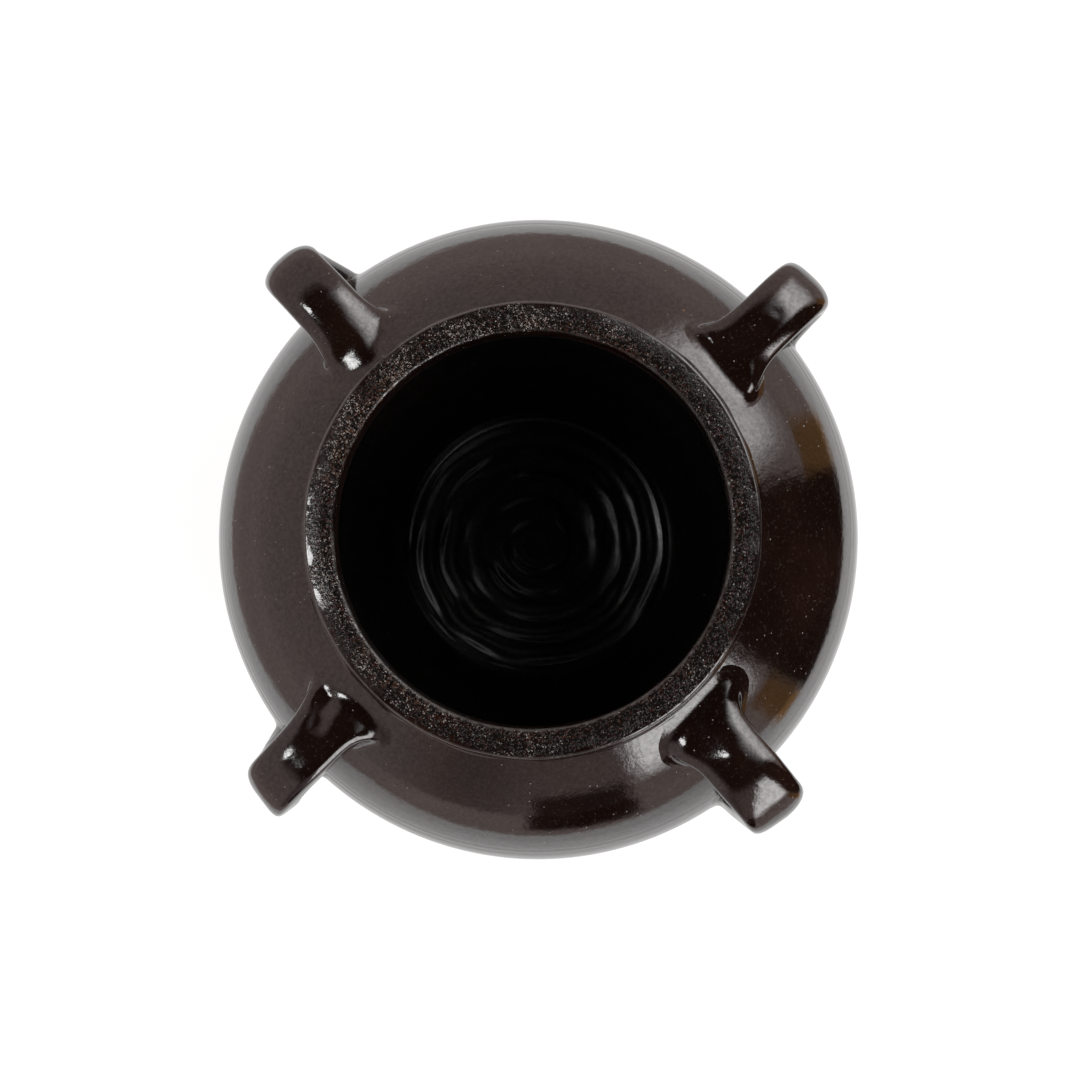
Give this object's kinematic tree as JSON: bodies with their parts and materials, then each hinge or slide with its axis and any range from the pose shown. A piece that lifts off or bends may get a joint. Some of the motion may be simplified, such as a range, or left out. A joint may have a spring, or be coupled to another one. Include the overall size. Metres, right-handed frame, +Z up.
{
  "type": "strap-handled clay pot",
  "caption": "Squat wheel-thrown black glazed clay pot with a wide mouth, a short rough-lipped collar and strap handles from shoulder to belly, for holding food, drink or flowers.",
  "frame": {"origin": "centre of the flat base, on the surface the pot stands on", "axes": "+Z up along the pot's turning axis; a handle lies on each of +X (handle_right), +Y (handle_back), -X (handle_left) and -Y (handle_front)"},
  "size_m": [0.2321, 0.23, 0.1511],
  "materials": {
    "glaze": "glossy brown-black glaze over clay, with faint throwing lines and specks",
    "rough_lip": "sandy worn lip with gritty dark grains, glossy along its outer edge"
  },
  "bodies": {
    "root": {"floor_slab": "glaze", "lower_bowl": "glaze", "shoulder_dome": "glaze", "rim_collar": "rough_lip", "handle_right": "glaze", "handle_back": "glaze", "handle_left": "glaze", "handle_front": "glaze"}
  },
  "joints": []
}
